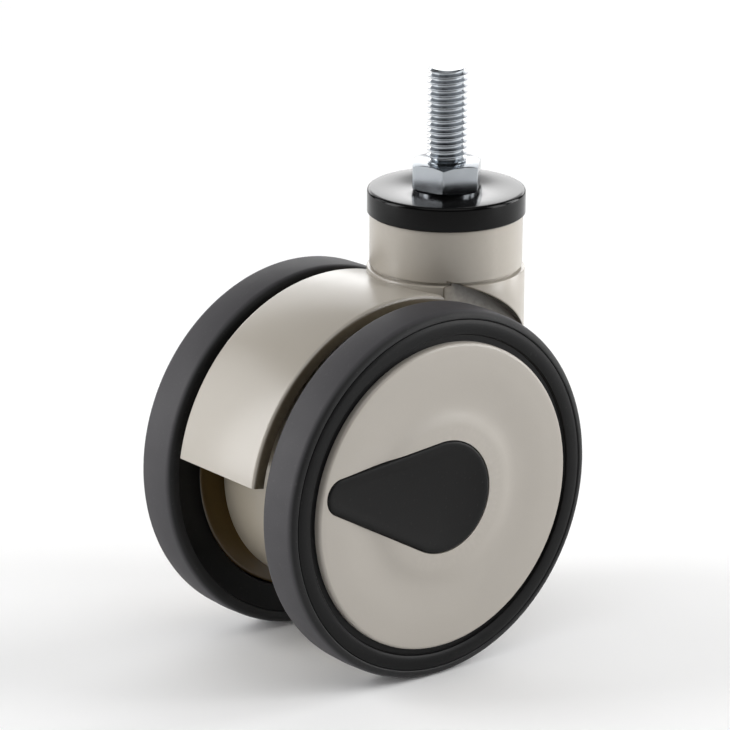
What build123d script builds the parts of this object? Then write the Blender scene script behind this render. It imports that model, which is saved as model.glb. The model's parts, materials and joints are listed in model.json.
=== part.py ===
"""Twin-wheel swivel caster for a chair: threaded stem, ball-bearing swivel head, two wheels.

The origin is on the swivel axis, at the top face of the stem's hexagon. +Z runs up the stem,
+Y is the left wheel's side, and the wheels trail towards -X.
"""

from build123d import *
from math import acos, cos, radians, sin
import os

# Main sizes, in millimetres.
WHEEL_R = 37.5
TRAIL = 20.75
AXLE_DROP = 59.45
AXLE_AT = Pos(-TRAIL, 0, -AXLE_DROP)

# Threaded stem: an M8 stud over a hexagon, and a shank that carries two bearings.
STUD_R = 4.0
STUD_LENGTH = 19.0
STUD_CHAMFER = 0.9
HEX_FLATS = 13.0
HEX_HEIGHT = 5.4
HEX_TURN = 45.7
HEX_TOP_CHAMFER, HEX_TOP_SINK = 0.2, 0.6
HEX_FOOT_CHAMFER = 0.35
COLLAR_R = 6.0
SHANK_R = 4.0
SHANK_END = -31.2
SHANK_CHAMFER = 0.5

# Deep-groove ball bearing, 8 x 22 x 7.
BEARING_BORE_R = 4.0
BEARING_OUTER_R = 11.0
BEARING_WIDTH = 7.0
INNER_LAND_R = 6.05
OUTER_LAND_R = 9.5
BALL_R = 1.98
BALL_COUNT = 7
PITCH_R = 7.5
RACE_R = 2.06
SHIELD_THICKNESS = 0.35
SHIELD_SEAT_R = 9.9
SHIELD_BORE_R = 6.35
CAGE_HALF_WIDTH = 2.6
CAGE_HALF_WALL = 0.5
CAGE_POCKET_R = 2.03
RING_CHAMFER = 0.3

# Snap rings: the lugs are (gap between them in degrees, radius, distance from the axis).
LUG_HOLE_SHARE = 0.45
SNAP_GROOVE_R = 3.8
SHAFT_SNAP_R = 5.4
SNAP_THICKNESS = 0.8
SHAFT_SNAP_LUGS = (50, 1.0, 4.8)
BORE_SNAP_R = 11.5
BORE_SNAP_BORE_R = 9.8
BORE_SNAP_THICKNESS = 1.0
BORE_SNAP_LUGS = (40, 1.4, 9.9)

# Swivel head.
NECK_R = 15.3
SKIRT_R = 15.8
SKIRT_TOP = -21.65
NECK_TOP = -10.5
SPIGOT_R = 13.4
SPIGOT_TOP = -7.2
CAP_TOP = -5.6
CAP_R = 15.8
CAP_BORE_R = 6.5
UPPER_BEARING_TOP = -10.0
BEARING_GAP = 5.0
LOWER_BEARING_TOP = UPPER_BEARING_TOP - BEARING_WIDTH - BEARING_GAP
BEARINGS_END = LOWER_BEARING_TOP - BEARING_WIDTH
SPACER_R = 5.6
OUTER_SPACER_BORE_R = 9.8
CAP_ROUNDING = 0.7
CAP_BORE_CHAMFER = 0.4
CAP_FOOT_CHAMFER = 0.15
SKIRT_CHAMFER = 0.25
SEAM_R = 14.7
SEAM_WIDTH = 0.6
RELIEF_R = 9.5
RELIEF_END = -33.0

# Housing between the wheels.
BODY_HALF = 12.0
DRUM_R = 26.5
DRUM_WALL = 2.5
DRUM_ROUNDING = 1.2
FENDER_WALL = 2.6
FENDER_ROUNDING = 0.8
FENDER_END = 170.8
NOSE_END = -14.0
BLOCK_END = 95.0
WHEEL_CLEARANCE_R = 40.3
WEB_HALF = 2.0
HUB_R = 8.0
MID_RIB = (14.8, 16.8)
HOUSING_RIBS = 8
HOUSING_RIB_TURN = 22.5
HOUSING_RIB_SINK = 0.6
RIB_THICKNESS = 2.0
RIB_OVERLAP = 1.5
WALL_OVERLAP = 1.0
POCKET_DEPTH = 9.0
POCKET_R = (28.6, 34.9)
POCKET_SPANS = ((-9, 5), (9, 23), (79, 91))

# Wheel, as distances out from the middle plane.
TREAD_IN = 14.8
TREAD_OUT = 24.4
TREAD_ROUNDING = 1.5
TYRE_SEAT_R = 34.0
TYRE_SEAT_IN, TYRE_SEAT_OUT = 16.0, 23.2
INNER_FLANGE_R = 35.0
FLANGE_R = 35.6
FLANGE_EDGE = TREAD_OUT - 0.35
BAND_MIDDLE = (34.1, TREAD_OUT + 0.1)
BEAD_CHAMFER = 0.25
BEARING_IN = 14.3
BEARING_OUT = BEARING_IN + BEARING_WIDTH
HUB_IN = 13.4
HUB_OUT = 22.8
HUB_SHOULDER_R = 9.6
WHEEL_HUB_R = 14.0
WEB_IN, WEB_OUT = 18.2, 20.4
RIM_BORE_R = 29.6
RIM_BORE_CHAMFER = 0.4
SHIELD_LEDGE_R = 28.4
DUST_SHIELD_IN, DUST_SHIELD_OUT = 15.6, 16.8
DUST_SHIELD_CHAMFER = 0.5
LEDGE_R = 28.6
WHEEL_RIBS = 8
WHEEL_RIB_THICKNESS = 1.8
WHEEL_RIB_OVERLAP = 0.5
RIB_TOP = 22.2
DISC_R = 31.1
DISC_IN, DISC_OUT = 23.7, 25.2
DISC_ROUNDING = 0.7
DISH = ((26.0, DISC_OUT - 0.1), (18.6, DISC_OUT - 0.35), (14.2, DISC_OUT))
SKIRT_BORE_R, SKIRT_IN = 27.4, 22.4
GROOVE_R = 32.5
GROOVE_EDGE = TREAD_OUT - 0.3
AXLE_END = 22.5
AXLE_CHAMFER = 0.3
DROP_BIG_R = 11.4
DROP_TIP_R = 3.7
DROP_LENGTH = 26.0
DROP_ANGLE = 167.8
DROP_PROUD = 0.15
DROP_ROUNDING = 0.6
DROP_FLANGE = 1.2
DROP_FLANGE_IN = 22.95
DROP_FIT = 0.05
CUT_MARGIN = 1.0

parts = {}


def about_swivel(*outline):
    """Solid turned about the swivel axis from (radius, height) points or edges."""
    return revolve(Plane.XZ * make_face(closed(outline)), Axis.Z)


def about_axle(*outline):
    """Solid turned about the axle from (radius, distance from the middle plane) points or edges."""
    return AXLE_AT * revolve(make_face(closed(outline)), Axis.Y)


def closed(outline):
    """Edges of a closed outline: points are joined by lines, and edges are kept as they are."""
    edges = []
    ends = [(item, item) if isinstance(item, tuple) else (item @ 0, item @ 1) for item in outline]
    for index, item in enumerate(outline):
        if not isinstance(item, tuple):
            edges.append(item)
        start, finish = Vector(ends[index][1]), Vector(ends[(index + 1) % len(outline)][0])
        if (finish - start).length > 1e-6:
            edges.append(Line(start, finish))
    return edges


def ring(inner, outer, low, high):
    """Points of a plain ring's section."""
    return (inner, low), (outer, low), (outer, high), (inner, high)


def bend(radius):
    """How far the middle of a quarter-round corner stands in from the corner's two flats."""
    return radius * (1 - cos(radians(45)))


def sector(inner, outer, start, finish, low, high):
    """Block round the axle between two angles, measured from +X towards +Z."""
    section = Rot(0, -finish, 0) * make_face(closed(ring(inner, outer, low, high)))
    return AXLE_AT * revolve(section, Axis.Y, finish - start)


def snap_ring(inner, outer, thickness, gap, lug, lug_at):
    """Open retaining ring about Z with two drilled lugs, standing on z = 0."""
    band = Circle(outer) - Circle(inner)
    half_gap = radians(gap / 2)
    reach = 2 * outer
    wedge = Polygon(
        (0, 0), (reach, -reach * sin(half_gap)), (reach, reach * sin(half_gap)), align=None
    )
    lugs = Sketch()
    holes = Sketch()
    for side in (-1, 1):
        angle = side * (half_gap + lug / lug_at)
        spot = Pos(lug_at * cos(angle), lug_at * sin(angle))
        lugs += spot * Circle(lug)
        holes += spot * Circle(lug * LUG_HOLE_SHARE)
    return extrude(band - wedge + lugs - holes, thickness)


def bearing():
    """Pieces of one bearing about Z, centred on the origin."""
    half = BEARING_WIDTH / 2
    race = Torus(PITCH_R, RACE_R)
    seat = half - SHIELD_THICKNESS
    edge = RING_CHAMFER
    inner = about_swivel(
        (BEARING_BORE_R + edge, -half), (INNER_LAND_R, -half), (INNER_LAND_R, half),
        (BEARING_BORE_R + edge, half), (BEARING_BORE_R, half - edge), (BEARING_BORE_R, edge - half),
    )
    outer = about_swivel(
        (SHIELD_SEAT_R, -half), (BEARING_OUTER_R - edge, -half), (BEARING_OUTER_R, edge - half),
        (BEARING_OUTER_R, half - edge), (BEARING_OUTER_R - edge, half), (SHIELD_SEAT_R, half),
        (SHIELD_SEAT_R, seat), (OUTER_LAND_R, seat), (OUTER_LAND_R, -seat), (SHIELD_SEAT_R, -seat),
    )
    shield = about_swivel(*ring(SHIELD_BORE_R, SHIELD_SEAT_R, seat, half))
    balls = [Rot(0, 0, 360 * n / BALL_COUNT) * Pos(PITCH_R, 0, 0) * Sphere(BALL_R)
             for n in range(BALL_COUNT)]
    cage = about_swivel(
        *ring(PITCH_R - CAGE_HALF_WALL, PITCH_R + CAGE_HALF_WALL, -CAGE_HALF_WIDTH, CAGE_HALF_WIDTH)
    )
    pocket = Pos(PITCH_R, 0, 0) * Rot(0, 90, 0) * Cylinder(CAGE_POCKET_R, 4 * CAGE_HALF_WALL)
    for n in range(BALL_COUNT):
        cage -= Rot(0, 0, 360 * n / BALL_COUNT) * pocket
    return {
        "inner_ring": inner - race,
        "outer_ring": outer - race,
        "shields": Compound([shield.solid(), mirror(shield, Plane.XY).solid()]),
        "balls": Compound([ball.solid() for ball in balls]),
        "cage": cage,
    }


def add_bearing(name, place):
    """One bearing's pieces, named after the bearing and put in place."""
    for piece, shape in bearing().items():
        parts[f"{name}_{piece}"] = place * shape


def add_stem():
    """Stud, hexagon, collar and shank in one turned piece, with its snap ring and spacer."""
    groove_end = BEARINGS_END - SNAP_THICKNESS
    shaft = about_swivel(
        (0, STUD_LENGTH), (STUD_R - STUD_CHAMFER, STUD_LENGTH),
        (STUD_R, STUD_LENGTH - STUD_CHAMFER), (STUD_R, -HEX_HEIGHT / 2),
        (COLLAR_R, -HEX_HEIGHT / 2), (COLLAR_R, UPPER_BEARING_TOP),
        (SHANK_R, UPPER_BEARING_TOP), (SHANK_R, BEARINGS_END),
        (SNAP_GROOVE_R, BEARINGS_END), (SNAP_GROOVE_R, groove_end), (SHANK_R, groove_end),
        (SHANK_R, SHANK_END + SHANK_CHAMFER), (SHANK_R - SHANK_CHAMFER, SHANK_END), (0, SHANK_END),
    )
    corner_r = HEX_FLATS / 2 / cos(radians(30))
    hexagon = Rot(0, 0, HEX_TURN) * extrude(RegularPolygon(corner_r, 6), -HEX_HEIGHT)
    bevel = about_swivel(
        (0, 0), (HEX_FLATS / 2 - HEX_TOP_CHAMFER, 0), (corner_r, -HEX_TOP_SINK),
        (corner_r, HEX_FOOT_CHAMFER - HEX_HEIGHT), (HEX_FLATS / 2, -HEX_HEIGHT), (0, -HEX_HEIGHT),
    )
    parts["threaded_stem"] = shaft + (hexagon & bevel)
    parts["stem_snap_ring"] = Pos(0, 0, groove_end) * snap_ring(
        SNAP_GROOVE_R, SHAFT_SNAP_R, SNAP_THICKNESS, *SHAFT_SNAP_LUGS
    )
    spacer_top = UPPER_BEARING_TOP - BEARING_WIDTH
    parts["swivel_inner_spacer"] = about_swivel(
        *ring(SHANK_R, SPACER_R, LOWER_BEARING_TOP, spacer_top)
    )
    parts["swivel_outer_spacer"] = about_swivel(
        *ring(OUTER_SPACER_BORE_R, BEARING_OUTER_R, LOWER_BEARING_TOP, spacer_top)
    )


def add_cap():
    """Cover that snaps over the neck's spigot and keeps dust out of the swivel bearings."""
    rounding = CAP_ROUNDING
    parts["top_cap"] = about_swivel(
        (CAP_BORE_R + CAP_BORE_CHAMFER, CAP_TOP), (CAP_R - rounding, CAP_TOP),
        ThreePointArc(
            (CAP_R - rounding, CAP_TOP),
            (CAP_R - bend(rounding), CAP_TOP - bend(rounding)),
            (CAP_R, CAP_TOP - rounding),
        ),
        (CAP_R, NECK_TOP + CAP_FOOT_CHAMFER), (CAP_R - CAP_FOOT_CHAMFER, NECK_TOP),
        (SPIGOT_R, NECK_TOP), (SPIGOT_R, SPIGOT_TOP), (CAP_BORE_R, SPIGOT_TOP),
        (CAP_BORE_R, CAP_TOP - CAP_BORE_CHAMFER),
    )
    parts["head_snap_ring"] = Pos(0, 0, UPPER_BEARING_TOP) * Rot(0, 0, 180) * snap_ring(
        BORE_SNAP_BORE_R, BORE_SNAP_R, BORE_SNAP_THICKNESS, *BORE_SNAP_LUGS
    )


def drum():
    """Hub barrel on the axle: rim wall, middle web, boss and ribs, open to both sides."""
    soft, rib_half = DRUM_ROUNDING, BODY_HALF - HOUSING_RIB_SINK
    barrel = about_axle(
        (DRUM_R - DRUM_WALL, -BODY_HALF), (DRUM_R - soft, -BODY_HALF),
        ThreePointArc(
            (DRUM_R - soft, -BODY_HALF), (DRUM_R - bend(soft), bend(soft) - BODY_HALF),
            (DRUM_R, soft - BODY_HALF),
        ),
        ThreePointArc(
            (DRUM_R, BODY_HALF - soft), (DRUM_R - bend(soft), BODY_HALF - bend(soft)),
            (DRUM_R - soft, BODY_HALF),
        ),
        (DRUM_R - DRUM_WALL, BODY_HALF),
    )
    barrel += about_axle(*ring(0, HUB_R, -BODY_HALF, BODY_HALF))
    barrel += about_axle(*ring(0, DRUM_R - WALL_OVERLAP, -WEB_HALF, WEB_HALF))
    barrel += about_axle(*ring(*MID_RIB, -rib_half, rib_half))
    rib_start, rib_end = HUB_R / 2, DRUM_R - RIB_OVERLAP
    rib = Box(rib_end - rib_start, 2 * rib_half, RIB_THICKNESS)
    rib_at = Pos((rib_start + rib_end) / 2, 0, 0)
    for n in range(HOUSING_RIBS):
        barrel += AXLE_AT * Rot(0, 360 * n / HOUSING_RIBS + HOUSING_RIB_TURN, 0) * rib_at * rib
    return barrel


def fender():
    """Mudguard over the top of the wheels, with softly rounded long edges."""
    soft = FENDER_ROUNDING
    inner = WHEEL_R - FENDER_WALL
    section = make_face(closed((
        (inner, -BODY_HALF), (WHEEL_R - soft, -BODY_HALF),
        ThreePointArc(
            (WHEEL_R - soft, -BODY_HALF), (WHEEL_R - bend(soft), bend(soft) - BODY_HALF),
            (WHEEL_R, soft - BODY_HALF),
        ),
        ThreePointArc(
            (WHEEL_R, BODY_HALF - soft), (WHEEL_R - bend(soft), BODY_HALF - bend(soft)),
            (WHEEL_R - soft, BODY_HALF),
        ),
        (inner, BODY_HALF),
    )))
    return AXLE_AT * revolve(Rot(0, -FENDER_END, 0) * section, Axis.Y, FENDER_END - NOSE_END)


def add_housing():
    """Moulded swivel housing: neck, fender and hub drum in one piece."""
    skirt_end = -AXLE_DROP + (WHEEL_R**2 - (TRAIL + SKIRT_R) ** 2) ** 0.5
    column = about_swivel(
        (0, skirt_end), (SKIRT_R, skirt_end), (SKIRT_R, SKIRT_TOP - SKIRT_CHAMFER),
        (SKIRT_R - SKIRT_CHAMFER, SKIRT_TOP), (SEAM_R, SKIRT_TOP), (SEAM_R, SKIRT_TOP + SEAM_WIDTH),
        (NECK_R, SKIRT_TOP + SEAM_WIDTH), (NECK_R, NECK_TOP), (SPIGOT_R, NECK_TOP),
        (SPIGOT_R, SPIGOT_TOP), (0, SPIGOT_TOP),
    )
    for side in (-1, 1):
        low, high = sorted((side * BODY_HALF, side * (SKIRT_R + CUT_MARGIN)))
        column -= about_axle(*ring(0, WHEEL_CLEARANCE_R, low, high))
    block = sector(
        DRUM_R - WALL_OVERLAP, WHEEL_R - WALL_OVERLAP, NOSE_END, BLOCK_END, -BODY_HALF, BODY_HALF
    )
    for start, finish in POCKET_SPANS:
        for low, high in ((BODY_HALF - POCKET_DEPTH, BODY_HALF), (-BODY_HALF, POCKET_DEPTH - BODY_HALF)):
            block -= sector(*POCKET_R, start, finish, low, high)
    body = drum() + fender() + block + column
    groove_top = UPPER_BEARING_TOP + BORE_SNAP_THICKNESS
    bore = about_swivel(
        (0, SPIGOT_TOP), (BEARING_OUTER_R, SPIGOT_TOP), (BEARING_OUTER_R, groove_top),
        (BORE_SNAP_R, groove_top), (BORE_SNAP_R, UPPER_BEARING_TOP),
        (BEARING_OUTER_R, UPPER_BEARING_TOP), (BEARING_OUTER_R, BEARINGS_END),
        (RELIEF_R, BEARINGS_END), (RELIEF_R, RELIEF_END), (0, RELIEF_END),
    )
    axle_bore = about_axle(*ring(0, SHANK_R, -BODY_HALF - CUT_MARGIN, BODY_HALF + CUT_MARGIN))
    parts["housing"] = body - bore - axle_bore


def add_axle():
    """Fixed axle through the drum, grooved at both ends for the snap rings."""
    groove_out = BEARING_OUT + SNAP_THICKNESS
    half = (
        (SHANK_R, BEARING_OUT), (SNAP_GROOVE_R, BEARING_OUT), (SNAP_GROOVE_R, groove_out),
        (SHANK_R, groove_out), (SHANK_R, AXLE_END - AXLE_CHAMFER), (SHANK_R - AXLE_CHAMFER, AXLE_END),
    )
    other_half = tuple((radius, -distance) for radius, distance in reversed(half))
    parts["axle"] = about_axle((0, -AXLE_END), *other_half, *half, (0, AXLE_END))


def teardrop(grow):
    """Teardrop outline on the XZ plane: round the axle, narrowing towards the rim."""
    big, tip = DROP_BIG_R + grow, DROP_TIP_R + grow
    tangent = acos((big - tip) / DROP_LENGTH)
    near = (big * cos(tangent), big * sin(tangent))
    far = (DROP_LENGTH + tip * cos(tangent), tip * sin(tangent))
    flank = Polygon((near[0], -near[1]), (far[0], -far[1]), far, near, align=None)
    outline = Circle(big) + Pos(DROP_LENGTH, 0) * Circle(tip) + flank
    return Plane.XZ * (Rot(0, 0, DROP_ANGLE) * outline)


def teardrop_slab(grow, low, high):
    """The teardrop, grown all round, between two distances from the middle plane."""
    return AXLE_AT * Pos(0, low, 0) * extrude(teardrop(grow), low - high)


def wheel_rim():
    """Wheel centre: bearing hub, web with ribs, tyre seat and the ring that frames the disc."""
    snap_out = BEARING_OUT + BORE_SNAP_THICKNESS
    rim = about_axle(
        (HUB_SHOULDER_R, HUB_IN), (WHEEL_HUB_R, HUB_IN), (WHEEL_HUB_R, WEB_IN), (SHIELD_LEDGE_R, WEB_IN),
        (SHIELD_LEDGE_R, DUST_SHIELD_OUT), (RIM_BORE_R, DUST_SHIELD_OUT),
        (RIM_BORE_R, TREAD_IN + RIM_BORE_CHAMFER), (RIM_BORE_R + RIM_BORE_CHAMFER, TREAD_IN),
        (INNER_FLANGE_R, TREAD_IN), (INNER_FLANGE_R, TYRE_SEAT_IN), (TYRE_SEAT_R, TYRE_SEAT_IN),
        (TYRE_SEAT_R, TYRE_SEAT_OUT), (FLANGE_R, TYRE_SEAT_OUT),
        ThreePointArc((FLANGE_R, FLANGE_EDGE), BAND_MIDDLE, (GROOVE_R, GROOVE_EDGE)),
        (GROOVE_R, DISC_IN), (LEDGE_R, DISC_IN), (LEDGE_R, WEB_OUT), (WHEEL_HUB_R, WEB_OUT),
        (WHEEL_HUB_R, HUB_OUT), (BEARING_OUTER_R, HUB_OUT), (BEARING_OUTER_R, snap_out),
        (BORE_SNAP_R, snap_out), (BORE_SNAP_R, BEARING_OUT), (BEARING_OUTER_R, BEARING_OUT),
        (BEARING_OUTER_R, BEARING_IN), (HUB_SHOULDER_R, BEARING_IN),
    )
    rib_low = WEB_OUT - WHEEL_RIB_OVERLAP
    rib = Box(LEDGE_R - WHEEL_HUB_R + 2 * WHEEL_RIB_OVERLAP, RIB_TOP - rib_low, WHEEL_RIB_THICKNESS)
    rib_at = Pos((LEDGE_R + WHEEL_HUB_R) / 2, (RIB_TOP + rib_low) / 2, 0)
    for n in range(WHEEL_RIBS):
        rim += AXLE_AT * Rot(0, 360 * n / WHEEL_RIBS, 0) * rib_at * rib
    return rim


def tyre():
    """Solid tread ring, with rounded shoulders and a bead on each side of the rim's seat."""
    soft = TREAD_ROUNDING
    return about_axle(
        (TYRE_SEAT_R, TYRE_SEAT_IN), (INNER_FLANGE_R, TYRE_SEAT_IN), (INNER_FLANGE_R, TREAD_IN),
        ThreePointArc(
            (WHEEL_R - soft, TREAD_IN), (WHEEL_R - bend(soft), TREAD_IN + bend(soft)),
            (WHEEL_R, TREAD_IN + soft),
        ),
        ThreePointArc(
            (WHEEL_R, TREAD_OUT - soft), (WHEEL_R - bend(soft), TREAD_OUT - bend(soft)),
            (WHEEL_R - soft, TREAD_OUT),
        ),
        (FLANGE_R + BEAD_CHAMFER, TREAD_OUT), (FLANGE_R, FLANGE_EDGE), (FLANGE_R, TYRE_SEAT_OUT),
        (TYRE_SEAT_R, TYRE_SEAT_OUT),
    )


def cover_disc():
    """Outer hub cover, faintly dished round the middle, with a teardrop window."""
    soft = DISC_ROUNDING
    disc = about_axle(
        (0, DISC_IN), (SKIRT_BORE_R, DISC_IN), (SKIRT_BORE_R, SKIRT_IN), (LEDGE_R, SKIRT_IN),
        (LEDGE_R, DISC_IN), (DISC_R, DISC_IN),
        ThreePointArc(
            (DISC_R, DISC_OUT - soft), (DISC_R - bend(soft), DISC_OUT - bend(soft)),
            (DISC_R - soft, DISC_OUT),
        ),
        ThreePointArc(*DISH), (0, DISC_OUT),
    )
    return disc - teardrop_slab(DROP_FIT, DISC_IN - CUT_MARGIN, DISC_OUT + CUT_MARGIN)


def teardrop_cap():
    """Snap-in cap that closes the disc's window over the axle's end."""
    plug = teardrop_slab(0, DISC_IN, DISC_OUT + DROP_PROUD)
    plug = fillet(plug.edges().group_by(Axis.Y)[-1], DROP_ROUNDING)
    flange = teardrop_slab(DROP_FLANGE, DROP_FLANGE_IN, DISC_IN)
    return plug + (flange & about_axle(*ring(0, SKIRT_BORE_R, DROP_FLANGE_IN, DISC_IN)))


def add_wheels():
    """Both wheels with their bearings: the right one mirrors the left one."""
    turned = Rot(-90, 0, 0)
    pieces = {
        "tyre": tyre(),
        "rim": wheel_rim(),
        "cover_disc": cover_disc(),
        "teardrop_cap": teardrop_cap(),
        "dust_shield": about_axle(
            (WHEEL_HUB_R, DUST_SHIELD_IN), (RIM_BORE_R - DUST_SHIELD_CHAMFER, DUST_SHIELD_IN),
            (RIM_BORE_R, DUST_SHIELD_IN + DUST_SHIELD_CHAMFER), (RIM_BORE_R, DUST_SHIELD_OUT),
            (WHEEL_HUB_R, DUST_SHIELD_OUT),
        ),
        "hub_snap_ring": AXLE_AT * Pos(0, BEARING_OUT, 0) * turned * snap_ring(
            BORE_SNAP_BORE_R, BORE_SNAP_R, BORE_SNAP_THICKNESS, *BORE_SNAP_LUGS
        ),
        "axle_snap_ring": AXLE_AT * Pos(0, BEARING_OUT, 0) * turned * snap_ring(
            SNAP_GROOVE_R, SHAFT_SNAP_R, SNAP_THICKNESS, *SHAFT_SNAP_LUGS
        ),
        "axle_spacer": about_axle(*ring(SHANK_R, SPACER_R, BODY_HALF, BEARING_IN)),
    }
    bearing_at = AXLE_AT * Pos(0, BEARING_IN + BEARING_WIDTH / 2, 0) * turned
    for piece, shape in bearing().items():
        pieces[f"bearing_{piece}"] = bearing_at * shape
    for piece, shape in pieces.items():
        parts[f"left_{piece}"] = shape
        parts[f"right_{piece}"] = mirror(shape, Plane.XZ)


add_stem()
add_cap()
add_housing()
add_axle()
add_wheels()
for name, top in (("upper", UPPER_BEARING_TOP), ("lower", LOWER_BEARING_TOP)):
    add_bearing(f"swivel_{name}", Pos(0, 0, top - BEARING_WIDTH / 2))

os.makedirs("parts", exist_ok=True)
for name, shape in parts.items():
    export_step(shape, f"parts/{name}.step")
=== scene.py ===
"""Chair caster: the visual model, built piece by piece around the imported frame."""

import bmesh
import bpy
import json
from bpy.props import FloatProperty, FloatVectorProperty, PointerProperty
from math import cos, pi, radians, sin
from mathutils import Euler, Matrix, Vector


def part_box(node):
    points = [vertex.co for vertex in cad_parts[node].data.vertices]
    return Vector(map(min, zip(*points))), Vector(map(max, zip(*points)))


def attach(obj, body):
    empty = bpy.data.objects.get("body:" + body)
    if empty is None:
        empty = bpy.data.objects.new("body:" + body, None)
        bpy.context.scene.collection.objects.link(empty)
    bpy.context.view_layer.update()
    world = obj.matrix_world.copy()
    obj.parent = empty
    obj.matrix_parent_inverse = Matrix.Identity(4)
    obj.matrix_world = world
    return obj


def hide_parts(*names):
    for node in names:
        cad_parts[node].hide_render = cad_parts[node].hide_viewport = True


bl_info = {
    "name": "Chair caster",
    "version": (1, 0, 0),
    "blender": (4, 5, 0),
    "location": "View3D > Sidebar > Caster",
    "description": "Builds a swivel chair caster piece by piece, with its finishes and a studio",
    "category": "Add Mesh",
}

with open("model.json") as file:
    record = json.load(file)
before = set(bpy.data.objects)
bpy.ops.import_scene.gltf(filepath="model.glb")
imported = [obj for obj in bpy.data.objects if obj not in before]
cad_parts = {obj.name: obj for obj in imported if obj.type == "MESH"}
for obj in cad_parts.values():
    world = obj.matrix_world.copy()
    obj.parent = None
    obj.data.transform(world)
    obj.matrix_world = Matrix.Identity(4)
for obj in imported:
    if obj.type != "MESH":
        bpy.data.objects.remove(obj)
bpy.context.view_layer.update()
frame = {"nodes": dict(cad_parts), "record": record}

MM = 0.001
SIDES = ("left", "right")
ROUND_STEPS = 192

# Places and sizes that the frame gives, in metres. The left side is +Y.
TYRE_LOW, TYRE_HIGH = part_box("left_tyre")
RIM_LOW, RIM_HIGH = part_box("left_rim")
DISC_LOW, DISC_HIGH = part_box("left_cover_disc")
DROP_LOW, DROP_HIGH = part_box("left_teardrop_cap")
SHIELD_LOW, SHIELD_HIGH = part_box("left_dust_shield")
STEM_LOW, STEM_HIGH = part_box("threaded_stem")
CAP_LOW, CAP_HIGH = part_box("top_cap")
HOUSING_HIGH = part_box("housing")[1]
AXLE_CENTRE = Vector(((TYRE_LOW.x + TYRE_HIGH.x) / 2, 0, (TYRE_LOW.z + TYRE_HIGH.z) / 2))
TYRE_R = (TYRE_HIGH.x - TYRE_LOW.x) / 2
FLOOR_Z = TYRE_LOW.z
SWIVEL_CENTRE = Vector((0, 0, 0))
SHIELD_R = (SHIELD_HIGH.x - SHIELD_LOW.x) / 2
ALONG_AXLE, ROUND_AXLE = (0, 1, 0), (1, 0, 1)

# Shared sizes: the spaces round the wheels, the tyre's seat and its step, the wheel's hub and the
# ledge for its cover, the cover's back, the spigot in the cap, and the ribs of wheel and drum.
CLEAR_R = 40.3 * MM
SEAT_R, SEAT_STEP = TYRE_R - 3.5 * MM, 1.2 * MM
HUB_R, LEDGE_R = 14.0 * MM, 28.6 * MM
COVER_BACK = DISC_HIGH.y - 1.5 * MM
SPIGOT_R = 13.4 * MM
RIBS = 8


def length(name, words, value):
    return FloatProperty(name=name, description=words, default=value, unit="LENGTH")


def rotation(name, words, value):
    return FloatProperty(name=name, description=words, default=value, unit="ROTATION")


def power(name, words, value):
    return FloatProperty(name=name, description=words, default=value, min=0, unit="POWER")


def colour(name, words, value):
    return FloatVectorProperty(
        name=name, description=words, default=(*value, 1), subtype="COLOR", size=4, min=0, max=1
    )


class CasterWheelSizes(bpy.types.PropertyGroup):
    """Sizes of the wheel's pieces that are not the frame's."""

    shoulder: length("Tread shoulder", "Radius of the tread's rounded edges", 1.5 * MM)
    crown: length("Tread crown", "How far the tread's middle stands above its edges", 0.12 * MM)
    disc_dish: length("Cover dish", "Depth of the ring pressed into the hub cover", 0.45 * MM)
    drop_big: length("Teardrop round end", "Radius of the teardrop's round end", 11.4 * MM)
    drop_tip: length("Teardrop tip", "Radius of the teardrop's tip", 3.7 * MM)
    drop_length: length(
        "Teardrop length", "Distance between the centres of its two ends", 26.0 * MM
    )
    drop_angle: rotation(
        "Teardrop angle", "Where the tip points, from +X towards +Z", radians(167.8)
    )


class CasterHousingSizes(bpy.types.PropertyGroup):
    """Sizes of the housing, its neck and its cap."""

    neck_radius: length("Neck radius", "Radius of the neck above the seam", 15.3 * MM)
    half_width: length(
        "Mudguard half width", "Half the width of the mudguard and the drum", 12.0 * MM
    )
    drum_radius: length("Drum radius", "Radius of the hub drum between the wheels", 26.5 * MM)
    guard_wall: length("Mudguard wall", "Thickness of the mudguard", 2.6 * MM)
    guard_end: rotation(
        "Mudguard end", "Angle of its trailing edge, from +X towards +Z", radians(170.8)
    )
    nose_end: rotation("Nose end", "Angle of the housing's front lower edge", radians(-14))


class CasterStemSizes(bpy.types.PropertyGroup):
    """Sizes of the threaded stem."""

    thread_pitch: length("Thread pitch", "Pitch of the coarse M8 thread", 1.25 * MM)
    thread_radius: length("Thread radius", "Radius over the thread's crests", 4.0 * MM)
    hex_flats: length("Hexagon", "Width across the hexagon's flats", 13.0 * MM)
    hex_height: length("Hexagon height", "Height of the hexagon", 5.4 * MM)
    hex_turn: rotation("Hexagon turn", "Angle of one of its corners from +X", radians(45.7))


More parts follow.
